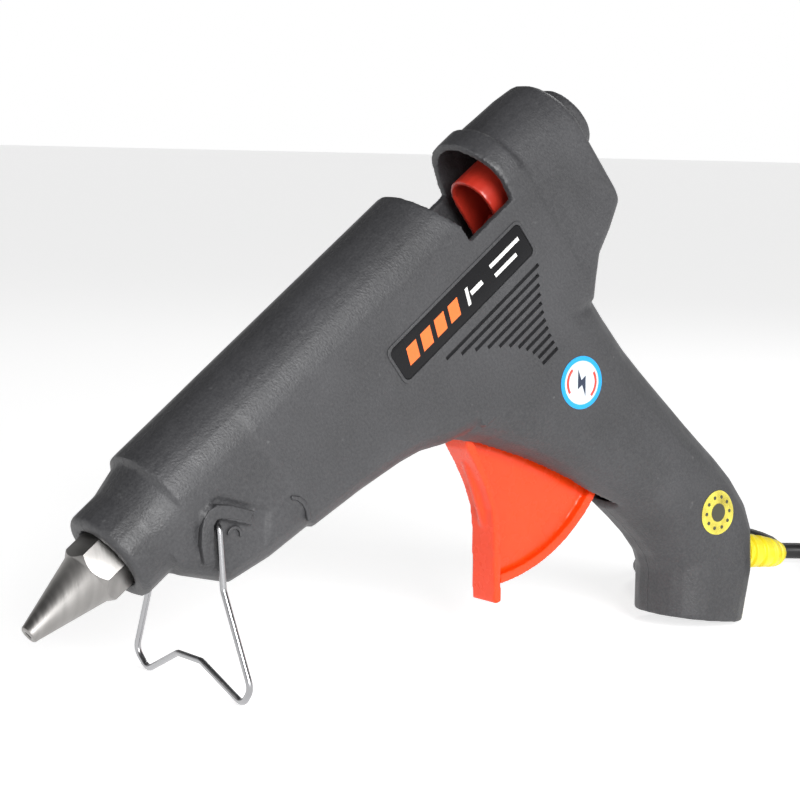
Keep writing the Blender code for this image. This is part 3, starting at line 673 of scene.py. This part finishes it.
@dataclass
class Studio:
    """The camera, the pale floor and the soft lights."""

    eye: Point = (-0.36475, -0.46158, 0.12811)
    turn: Point = (83.817, -1.4146, -36.6847)
    lens: float = 105.584
    haze: Spot = (0.12, 0.5)
    overhead: float = 0.04
    floor_size: float = 60.0
    floor_drop: float = 0.0002

    def camera(self) -> None:
        """Make the camera."""
        camera = bpy.data.cameras.new("camera")
        camera.lens = self.lens
        camera.sensor_width = 36.0
        camera.clip_start = 0.01
        made = bpy.data.objects.new("camera", camera)
        made.location = self.eye
        made.rotation_euler = Euler([math.radians(part) for part in self.turn])
        bpy.context.collection.objects.link(made)
        bpy.context.scene.camera = made

    def light(self, name: str, place: Point, aim: Point, size: float, power: float) -> None:
        """A square area light that points at a place.

        Args:
            name: the lamp's name.
            place: where it stands, in metres.
            aim: the place it points at.
            size: its side.
            power: its power, in watts.
        """
        lamp = bpy.data.lights.new(name, "AREA")
        lamp.size = size
        lamp.energy = power
        made = bpy.data.objects.new(name, lamp)
        made.location = place
        made.rotation_euler = (Vector(aim) - Vector(place)).to_track_quat("-Z", "Y").to_euler()
        bpy.context.collection.objects.link(made)

    def sky(self, tree: bpy.types.NodeTree) -> None:
        """White around the horizon and dimmer overhead, so that dark shapes keep their edges.

        Args:
            tree: the world's nodes.
        """
        coordinates = tree.nodes.new("ShaderNodeTexCoord")
        parts = tree.nodes.new("ShaderNodeSeparateXYZ")
        fade = tree.nodes.new("ShaderNodeMapRange")
        fade.inputs["From Min"].default_value = self.haze[0]
        fade.inputs["From Max"].default_value = self.haze[1]
        fade.inputs["To Min"].default_value = 1.0
        fade.inputs["To Max"].default_value = self.overhead
        tree.links.new(coordinates.outputs["Generated"], parts.inputs["Vector"])
        tree.links.new(parts.outputs["Z"], fade.inputs["Value"])
        tree.links.new(fade.outputs["Result"], tree.nodes["Background"].inputs["Strength"])
        tree.nodes["Background"].inputs["Color"].default_value = (1, 1, 1, 1)

    def build(self) -> None:
        """Make the floor, the world's light and the lamps."""
        deselect()
        bpy.ops.mesh.primitive_plane_add(size=self.floor_size, location=(0, 0, -self.floor_drop))
        floor = bpy.context.active_object
        floor.name = "floor"
        Finish("pale_floor", (0.8, 0.8, 0.8), 0.9, mottle=0.0, grain=0.0, glow=0.7).dress(floor)
        world = bpy.data.worlds.new("studio")
        world.use_nodes = True
        self.sky(world.node_tree)
        bpy.context.scene.world = world
        self.light("key_softbox", (-0.3, -0.95, 0.42), (0.03, 0, 0.09), 0.5, 13.0)
        self.light("rear_softbox", (0.75, 0.35, 0.75), (0.03, 0, 0.07), 0.3, 1.5)
        bpy.context.scene.view_settings.view_transform = "Standard"


@dataclass
class Body:
    """The two half shells, with their louvres."""

    voxel: float = 0.62
    rounds: int = 3
    seam: float = 0.05
    louvres: int = 11
    louvre_half: float = 0.5
    flank: float = 14.5
    cad_seam: float = 0.15
    past_seam: float = 2.5
    overlap: float = 9.0
    rib_foot: float = 13.6
    rib_round: float = 0.28

    def louvre_spans(self) -> list[tuple[float, float, float]]:
        """Each louvre's front, rear and height, whose ends follow two curves.

        Returns:
            Each louvre's front, rear and height.
        """
        spans = []
        for index in range(self.louvres):
            share = 1 - index / (self.louvres - 1)
            spans.append((94.2 + 22.5 * (1 - share**2), 122.8 + 7.6 * share**2, -19.0 - 2.09 * index))
        return spans

    def patch(self, sign: int) -> bpy.types.Object:
        """A block that fills the frame's plain slots, flush with the flank."""
        near, far = sorted((sign * 12.4, sign * (self.flank - 0.02)))
        return box("patch", (93.4, near, -40.8), (131.4, far, -17.8))

    def stand_marks(self, sign: int) -> bpy.types.Object:
        """The raised rib around the stand's pivot, with its small catch behind the wire.

        Args:
            sign: the side's sign of y.

        Returns:
            The rib, its catch and the end of the pad as one piece.
        """
        rib = [(13.0, -10.9), (15.0, -6.8), (17.4, -3.9), (19.2, -2.4), (21.4, -1.7), (23.9, -2.2), (26.8, -5.1)]
        rib += [(30.4, -10.2), (27.8, -11.2), (24.9, -7.6), (23.1, -5.6), (21.7, -4.9), (20.3, -5.4), (18.1, -8.1)]
        rib.append((15.6, -12.0))
        ribs = self.raised("stand_rib", rib, sign)
        turns = [math.radians(-60 + 200 * step / 14) for step in range(15)]
        catch = [(23.6 + 2.1 * math.cos(t), -11.6 + 2.1 * math.sin(t)) for t in turns]
        catch += [(23.6 + 1.3 * math.cos(t), -11.6 + 1.3 * math.sin(t)) for t in reversed(turns)]
        end = [(40.4, -14.7), (42.0, -16.4), (42.7, -18.4), (42.4, -20.6), (40.9, -23.2)]
        end += [(40.1, -22.8), (41.2, -20.3), (41.4, -18.4), (40.9, -16.8), (39.8, -15.4)]
        pieces = [ribs, self.raised("catch", catch, sign, 14.1), self.raised("pad_end", end, sign, 14.75)]
        return merged(pieces, f"{Side(sign).name.lower()}_stand_rib")

    def raised(self, name: str, outline: list[Spot], sign: int, proud: float = 15.3) -> bpy.types.Object:
        """A rib that stands proud of the flank, its edges slightly rounded.

        Args:
            name: the object's name.
            outline: its corners as (a, h).
            sign: the side's sign of y.
            proud: how far out its top is.

        Returns:
            The rib.
        """
        low, high = sorted((sign * self.rib_foot, sign * proud))
        piece = flat(name, outline, low, high)
        edge = math.radians(50)
        modify(piece, "BEVEL", width=self.rib_round * MM, segments=3, limit_method="ANGLE", angle_limit=edge)
        return piece

    def cutters(self, sign: int) -> bpy.types.Object:
        """The louvres and all that lies past the seam, as one cutter.

        Args:
            sign: the side's sign of y.

        Returns:
            The cutter.
        """
        near, far = sorted((sign * self.seam, -sign * self.overlap))
        tools = [box("past_seam", (-20, near, -170), (200, far, 40))]
        low, high = sorted((sign * 13.0, sign * 18.0))
        for front, rear, h in self.louvre_spans():
            tools.append(box("louvre", (front, low, h - self.louvre_half), (rear, high, h + self.louvre_half)))
        return merged(tools, "cutters")

    def half(self, side: Side) -> bpy.types.Object:
        """One half shell with moulded edges, cut cleanly at the seam.

        Args:
            side: which half.

        Returns:
            The dressed half.
        """
        sign = side.value
        name = f"{side.name.lower()}_shell"
        shell = cad_copy(name, f"{name}_moulded")
        for vertex in shell.data.vertices:
            if abs(vertex.co.y - sign * self.cad_seam * MM) < 0.01 * MM:
                vertex.co.y = -sign * self.past_seam * MM
        shell = merged([shell, self.patch(sign)], f"{name}_moulded")
        moulded(shell, self.voxel, self.rounds)
        boolean(shell, self.cutters(sign), "DIFFERENCE")
        shade(shell, 30)
        return BODY.dress(shell)

    def build(self) -> None:
        """Make both halves."""
        for side in Side:
            shell = self.half(side)
            place(shell, "gun", "shell", f"{side.name.lower()}_shell")
            rib = self.stand_marks(side.value)
            BODY.dress(shade(rib))
            place(rib, "gun", "shell")


@dataclass
class Tip:
    """The nozzle: a hexagon that runs into a cone, with a bored tip."""

    across_flats: float = 14.0
    rod: float = 40.0
    steps: int = 120
    profile: list[Spot] = field(
        default_factory=lambda: [
            (-19.0, 1.0), (-25.0, 1.0), (-25.2, 1.2), (-25.2, 1.95), (-24.9, 2.3), (-24.3, 2.4),
            (-6.6, 6.85), (-6.3, 7.05), (-5.1, 8.0), (-4.9, 8.08), (1.4, 8.08), (1.4, 5.9), (-8.0, 5.9),
        ]
    )

    def build(self) -> None:
        """Turn the nozzle and cut its hexagon."""
        nozzle = spun("nozzle_turned", self.profile, GUN.feed_matrix(), self.steps)
        deselect()
        bpy.ops.mesh.primitive_cylinder_add(
            vertices=6, radius=self.across_flats / 2 / math.cos(math.pi / 6), depth=self.rod,
            location=(-10, 0, 0), rotation=(0, math.pi / 2, 0),
        )
        hexagon = settle(bpy.context.active_object, GUN.feed_matrix())
        boolean(nozzle, hexagon, "INTERSECT")
        modify(nozzle, "BEVEL", width=0.18 * MM, segments=2, limit_method="ANGLE", angle_limit=math.radians(25))
        shade(nozzle, 30)
        NOZZLE.dress(nozzle)
        place(nozzle, "gun", "nozzle", "nozzle")


@dataclass
class Stand:
    """The folding wire stand."""

    pivot: Spot = (21.4, -6.3)
    radius: float = 0.8
    bend: float = 3.4

    def build(self) -> None:
        """Bend the wire along its route."""
        a, h = self.pivot
        half = [(a, 10.6, h), (a, 15.0, h), (12.8, 15.6, -18.7), (0.6, 25.5, -36.3)]
        half += [(-1.6, 21.2, -40.2), (1.9, 5.3, -33.7)]
        route = [(x, -y, z) for x, y, z in half] + [(x, y, z) for x, y, z in reversed(half)]
        line = rounded_line([GUN.point(*point) for point in route], self.bend * MM)
        wire = round_wire("stand_wire", line, self.radius * MM)
        WIRE.dress(wire)
        place(wire, "stand", "steel", "wire_stand")


@dataclass
class Mechanism:
    """The trigger, the feed carriage and the grip lever, as they come out of their moulds."""

    def build(self) -> None:
        """Round each moving piece's edges and dress it."""
        trigger = moulded(cad_copy("trigger", "trigger_moulded"), 0.42, 5)
        TRIGGER.dress(trigger)
        place(trigger, "trigger", "trigger", "trigger")
        carriage = moulded(cad_copy("feed_carriage", "carriage_moulded"), 0.4, 4)
        FEEDER.dress(carriage)
        place(carriage, "carriage", "feeder", "feed_carriage")
        lever = moulded(cad_copy("grip_lever", "lever_moulded"), 0.4, 3)
        FEEDER.dress(lever)
        place(lever, "lever", "feeder", "grip_lever")


@dataclass
class Markings:
    """The label plate and the two round stickers, with plain generic marks."""

    label_low: Spot = (81.95, -15.65)
    label_high: Spot = (131.25, -6.45)
    label_face: float = -14.45
    power: Spot = (123.5, -52.2)
    foil: Spot = (139.8, -113.1)
    ink: float = 0.05
    power_face: float = -14.62
    power_radius: float = 6.8
    arc_radius: float = 5.0
    arc_width: float = 0.7
    foil_radius: float = 6.0
    foil_core: float = 2.5
    foil_start: float = -20.0
    foil_dots: int = 10
    dots_radius: float = 4.3
    slant: float = 0.35

    def bar(self, name: str, a: Spot, h: Spot, slant: float = 0.0) -> bpy.types.Object:
        """A thin printed bar on the label, leaning by slant.

        Args:
            name: the object's name.
            a: its two ends.
            h: its two edges.
            slant: how far it leans per step of h.

        Returns:
            The bar.
        """
        low, high = self.label_face - self.ink, self.label_face + 0.1
        piece = box(name, (a[0], low, h[0]), (a[1], high, h[1]), Matrix.Identity(4))
        for vertex in piece.data.vertices:
            vertex.co.x += slant * (vertex.co.z - h[0])
        piece.data.transform(GUN.matrix())
        return piece

    def rounded(self, a_low: float, h_low: float, a_high: float, h_high: float, radius: float) -> list[Spot]:
        """A rectangle's outline in (a, h) with rounded corners.

        Args:
            a_low: its lower a.
            h_low: its lower h.
            a_high: its higher a.
            h_high: its higher h.
            radius: its corners' radius.

        Returns:
            The corners as (a, h).
        """
        corners = ((a_high, h_high, 0), (a_low, h_high, 90), (a_low, h_low, 180), (a_high, h_low, 270))
        outline = []
        for a, h, start in corners:
            a += radius if a == a_low else -radius
            h += radius if h == h_low else -radius
            for step in range(9):
                turn = math.radians(start + 90 * step / 8)
                outline.append((a + radius * math.cos(turn), h + radius * math.sin(turn)))
        return outline

    def label(self) -> None:
        """The gloss plate, rounded at its corners, and its printed bars."""
        (a_low, h_low), (a_high, h_high) = self.label_low, self.label_high
        plate = flat("label_gloss", self.rounded(a_low, h_low, a_high, h_high, 1.5), self.label_face, -13.95)
        modify(plate, "BEVEL", width=0.12 * MM, segments=3, limit_method="ANGLE", angle_limit=math.radians(60))
        LABEL.dress(shade(plate))
        place(plate, "gun", "label", "label_plate")
        lip = flat("lip", self.rounded(a_low - 0.9, h_low - 0.9, a_high + 0.9, h_high + 0.9, 2.1), -14.66, -13.9)
        hole = flat("hole", self.rounded(a_low - 0.1, h_low - 0.1, a_high + 0.1, h_high + 0.1, 1.6), -16.0, -13.0)
        boolean(lip, hole, "DIFFERENCE")
        lip.name = "label_lip"
        modify(lip, "BEVEL", width=0.14 * MM, segments=2, limit_method="ANGLE", angle_limit=math.radians(60))
        BODY.dress(shade(lip))
        place(lip, "gun", "shell")
        orange = [self.bar("bar", (85.0 + 5.2 * n, 88.6 + 5.2 * n), (-13.2, -9.0), self.slant) for n in range(4)]
        row = merged(orange, "label_orange_bars")
        pale = [self.bar("bar", (107.2, 108.2), (-13.2, -9.0), self.slant)]
        pale.append(self.bar("bar", (109.6, 114.0), (-11.7, -10.5)))
        pale += [self.bar("bar", (118.0, 129.2), (-10.2, -9.2)), self.bar("bar", (118.0, 126.4), (-13.0, -12.0))]
        for piece, finish in ((row, PRINT_ORANGE), (merged(pale, "label_pale_bars"), PRINT_PALE)):
            finish.dress(piece)
            place(piece, "gun", "label")

    def power_sticker(self) -> None:
        """A blue ring around a pale field, with two red arcs and a bolt mark."""
        face = self.power_face
        rim = disc("sticker_ring", self.power, self.power_radius, face, -14.46)
        STICKER_BLUE.dress(shade(rim))
        place(rim, "gun", "sticker", "power_sticker")
        field_disc = disc("sticker_field", self.power, 5.6, face - 0.04, face + 0.05)
        STICKER_PALE.dress(shade(field_disc))
        place(field_disc, "gun", "sticker")
        red = merged([self.arc(start) for start in (95.0, 275.0)], "sticker_arcs")
        STICKER_RED.dress(red)
        place(red, "gun", "sticker")
        bolt = ((1.1, 3.5), (-2.0, -0.5), (-0.25, -0.5), (-1.1, -3.5), (2.0, 0.6), (0.25, 0.6))
        mark = flat("sticker_bolt", [(self.power[0] + a, self.power[1] + h) for a, h in bolt], face - 0.1, face)
        STICKER_INK.dress(mark)
        place(mark, "gun", "sticker")

    def arc(self, start: float) -> bpy.types.Object:
        """A thin printed arc of 80 degrees around the power sticker's middle.

        Args:
            start: where it starts, in degrees.

        Returns:
            The arc.
        """
        turns = [math.radians(start + 80 * step / 12) for step in range(13)]
        a, h = self.power
        outer = [(a + self.arc_radius * math.cos(t), h + self.arc_radius * math.sin(t)) for t in turns]
        radius = self.arc_radius - self.arc_width
        inner = [(a + radius * math.cos(t), h + radius * math.sin(t)) for t in turns]
        return flat("arc", outer + inner[::-1], -14.7, self.power_face)

    def foil_sticker(self, shell: bpy.types.Object) -> None:
        """A foil disc laid on the handle's curved flank, with a printed ring of dots.

        Args:
            shell: the half that it lies on.
        """
        parts = (("foil_disc", self.foil_radius, 0.10, FOIL), ("foil_core", self.foil_core, 0.16, FOIL_INK))
        sheets = []
        for name, radius, proud, finish in parts:
            sheet = self.sheet(name, self.foil, radius, 64)
            edit(sheet)
            bpy.ops.mesh.subdivide(number_cuts=6)
            done()
            sheets.append(self.laid(sheet, shell, proud, finish))
        for number in range(self.foil_dots):
            turn = math.tau * number / self.foil_dots
            a = self.foil[0] + self.dots_radius * math.cos(turn)
            h = self.foil[1] + self.dots_radius * math.sin(turn)
            dot = self.sheet(f"foil_dot_{number}", (a, h), 0.5, 12)
            sheets.append(self.laid(dot, shell, 0.16, FOIL_INK))
        place(sheets[0], "gun", "foil", "foil_sticker")
        ink = merged(sheets[1:], "foil_print")
        place(ink, "gun", "foil")

    def sheet(self, name: str, spot: Spot, radius: float, sides: int) -> bpy.types.Object:
        """A round flat sheet beside the handle, to be laid on it.

        Args:
            name: the object's name.
            spot: its middle as (a, h).
            radius: its radius.
            sides: how many sides its edge has.

        Returns:
            The sheet.
        """
        deselect()
        bpy.ops.mesh.primitive_circle_add(
            vertices=sides, radius=radius, fill_type="TRIFAN",
            location=(spot[0], self.foil_start, spot[1]), rotation=(math.pi / 2, 0, 0),
        )
        piece = settle(bpy.context.active_object, GUN.matrix())
        piece.name = name
        return piece

    def laid(self, sheet: bpy.types.Object, shell: bpy.types.Object, proud: float, finish: Finish) -> bpy.types.Object:
        """Lay a flat sheet on the shell's flank and give it a thickness.

        Args:
            sheet: the flat sheet.
            shell: the half that it lies on.
            proud: how far off the shell it lies.
            finish: its finish.

        Returns:
            The dressed sheet.
        """
        modify(
            sheet, "SHRINKWRAP", target=shell, wrap_method="PROJECT", use_project_y=True,
            use_negative_direction=True, use_positive_direction=True, offset=proud * MM,
        )
        modify(sheet, "SOLIDIFY", thickness=0.08 * MM, offset=0.0)
        return finish.dress(finish_mesh(sheet))

    def build(self) -> None:
        """Make the label and both stickers."""
        self.label()
        self.power_sticker()
        self.foil_sticker(bpy.data.objects["left_shell_moulded"])


@dataclass
class Lead:
    """The strain relief, the cord with its coil, and the plug."""

    relief_point: Spot = (149.5, -139.5)
    radius: float = 2.5
    coil_centre: Spot = (178.0, -8.0)
    radii: tuple[float, ...] = (32.4, 27.5, 22.5, 22.5, 27.5, 32.4, 27.5)
    levels: tuple[float, ...] = (2.5, 2.5, 2.5, 7.4, 7.4, 7.4, 12.3)
    length: float = 1.36
    turns: float = 6.852
    coil_points: int = 196
    ease: float = 0.22
    first_ease: float = 0.13
    climb: float = 0.42
    end_radius: float = 22.4
    end_level: float = 20.85
    relief_rings: int = 240
    relief_sides: int = 32
    flange: Spot = (1.6, 5.7)
    neck: Spot = (6.4, 4.4)
    rib_pitch: float = 4.1
    rib_depth: float = 1.05

    def root(self) -> Vector:
        """Where the relief leaves the handle, in millimetres of the world."""
        return GUN.point(self.relief_point[0], 0, self.relief_point[1]) / MM

    def free_route(self) -> list[Vector]:
        """The route's own points from the relief's tip to the coil, in millimetres.

        Returns:
            The points, in order.
        """
        start = self.root() + Vector((18.85, 6.3, -3.1))
        floor = self.radius + 0.2
        steps = ((0, 0, 0), (3.2, 2.8, 0.1), (4.6, 8.2, 1.4), (0.5, 14.4, 3.0), (-8.0, 18.2, 3.8), (-16.0, 24.7, 0.6))
        route = [start + Vector(step) for step in (*steps, (-17.0, 33.7, -5.0))]
        x, y, _ = start
        lain = ((-11.5, 43.2, 2.2), (-1.5, 49.7, 0.2), (12.5, 53.7, 0), (30.5, 55.7, 0), (47.5, 53.7, 0))
        for along, across, up in (*lain, (61.5, 46.7, 0), (72.0, 33.2, 0), (81.2, 15.0, 0)):
            route.append(Vector((x + along, y + across, floor + up)))
        return route

    def eased(self, values: tuple[float, ...], before: float, turn: float) -> float:
        """A value that holds for most of a turn and eases from the one before.

        Args:
            values: one value per turn.
            before: the value before the first.
            turn: how many turns have gone.

        Returns:
            The value there.
        """
        index = min(int(turn), len(values) - 1)
        start = values[index - 1] if index else before
        share = min((turn - index) / (self.ease if index else self.first_ease), 1.0)
        share = share * share * (3 - 2 * share)
        return start + (values[index] - start) * share

    def coil(self) -> list[Vector]:
        """The coil's turns, three beside each other and three layers high, and the rise to the plug.

        Returns:
            The turns' points, in order.
        """
        x, y = self.coil_centre
        first = self.free_route()[-1]
        start = math.atan2(first.y - y, first.x - x)
        begin = math.hypot(first.x - x, first.y - y)
        points = []
        for step in range(1, self.coil_points + 1):
            turn = self.turns * step / self.coil_points
            radius = self.eased(self.radii, begin, turn)
            level = self.eased(self.levels, self.levels[0], turn)
            rise = max(0.0, (turn - (self.turns - self.climb)) / self.climb)
            rise = rise * rise * (3 - 2 * rise)
            radius += (self.end_radius - radius) * rise
            level += (self.end_level - level) * rise
            angle = start - math.tau * turn
            points.append(Vector((x + radius * math.cos(angle), y + radius * math.sin(angle), level)))
        return points

    def cord(self) -> bpy.types.Object:
        """The whole free cord as one round curve.

        Returns:
            The dressed cord.
        """
        line = [point * MM for point in smooth_line(self.free_route(), 60) + self.coil()]
        piece = round_wire("mains_cord", line, self.radius * MM, 5)
        JACKET.dress(piece)
        return piece

    def relief(self) -> bpy.types.Object:
        """The ribbed sleeve, turned along its bending line.

        Returns:
            The dressed sleeve.
        """
        root = self.root()
        steps = ((-8, 0, 0), (0, 0, 0), (7.0, 0, -0.8), (13.0, 2.0, -2.0), (18.3, 5.9, -3.0))
        route = [root + Vector(step) for step in steps]
        line = smooth_line(route, self.relief_rings)
        last, sides = self.relief_rings - 1, self.relief_sides
        rings, travelled = [], 0.0
        for index, point in enumerate(line):
            if index:
                travelled += (point - line[index - 1]).length
            ahead = (line[min(index + 1, last)] - line[max(index - 1, 0)]).normalized()
            aside = ahead.cross(Vector((0, 0, 1))).normalized()
            radius = self.relief_radius(travelled)
            for step in range(sides):
                turn = math.tau * step / sides
                rings.append((point + (aside * math.cos(turn) + Vector((0, 0, 1)) * math.sin(turn)) * radius) * MM)
        faces = [tuple(range(sides)), tuple(range(len(rings) - sides, len(rings)))]
        for row in range(last):
            near, far = row * sides, (row + 1) * sides
            for step in range(sides):
                after = (step + 1) % sides
                faces.append((near + step, near + after, far + after, far + step))
        mesh = bpy.data.meshes.new("relief_ribbed")
        mesh.from_pydata(rings, [], faces)
        piece = bpy.data.objects.new("relief_ribbed", mesh)
        bpy.context.collection.objects.link(piece)
        return RELIEF.dress(finish_mesh(piece, 50))

    def relief_radius(self, travelled: float) -> float:
        """The sleeve's radius along its line: a flange, a neck, then tapering ribs.

        Args:
            travelled: the way along it, in millimetres.

        Returns:
            The radius there.
        """
        for reach, radius in (self.flange, self.neck):
            if travelled < reach:
                return radius
        past = travelled - self.neck[0]
        taper = 5.0 - 1.35 * past / 21.6
        wave = math.cos(math.tau * past / self.rib_pitch)
        return taper - self.rib_depth * (1 - 1 / (1 + math.exp(-9 * (wave + 0.55))))

    def plug(self) -> list[bpy.types.Object]:
        """The plug with moulded edges and its two round pins, and the coil's tie.

        Returns:
            The pieces that are on the cord.
        """
        body = moulded(cad_copy("plug_body", "plug_moulded"), 0.5, 6)
        PLUG.dress(body)
        place(body, "gun", "clamp", "plug_body")
        tie = moulded(cad_copy("coil_tie", "tie_moulded"), 0.35, 2)
        JACKET.dress(tie)
        place(tie, "gun", "cord", "coil_tie")
        pins = []
        for number in (1, 2):
            pin = cad_copy(f"plug_pin_{number}", f"pin_{number}_bevelled")
            modify(pin, "BEVEL", width=0.5 * MM, segments=3, limit_method="ANGLE", angle_limit=math.radians(60))
            BRASS.dress(shade(pin, 40))
            place(pin, "gun", "plug_pin", f"plug_pin_{number}")
            pins.append(pin)
        return [body, tie, *pins]

    def build(self) -> None:
        """Make the relief, the cord and what is on it."""
        relief = self.relief()
        place(relief, "gun", "relief", "strain_relief")
        cord = self.cord()
        place(cord, "gun", "cord", "power_cord", "cord_coil")
        pieces = self.plug()


@dataclass
class Inside:
    """The frame's own nodes that stay as they are, with real finishes."""

    def finishes(self) -> dict[str, Finish]:
        """Each kept node's finish.

        Returns:
            The finishes by the node's name.
        """
        found = {
            "melt_chamber": CAST, "ptc_heater": CERAMIC, "electrode_upper": BRASS, "electrode_lower": BRASS,
            "heater_wrap": FILM, "heater_clip": STEEL, "inlet_sleeve": SILICONE, "sleeve_clamp": STEEL,
            "grip_pin": STEEL, "drive_pin": STEEL, "trigger_pin": STEEL, "return_spring": WIRE,
            "cord_tail": JACKET, "cord_clamp": PLUG, "clamp_screw_1": STEEL, "clamp_screw_2": STEEL,
            "lead_live": LEAD_RED, "lead_neutral": LEAD_BLUE,
        }
        for number in range(1, 6):
            found[f"shell_screw_{number}"] = STEEL
        return found

    def build(self) -> None:
        """Dress every kept node."""
        for node, finish in self.finishes().items():
            finish.dress(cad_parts[node])
            LOG.info("%s dressed", node)


def main() -> None:
    """Build the sub-assemblies in order."""
    logging.basicConfig(level=logging.INFO)
    studio = Studio()
    studio.camera()
    Lead().build()
    Body().build()
    Tip().build()
    Stand().build()
    Mechanism().build()
    Markings().build()
    Inside().build()
    studio.build()


if __name__ == "__main__":
    main()
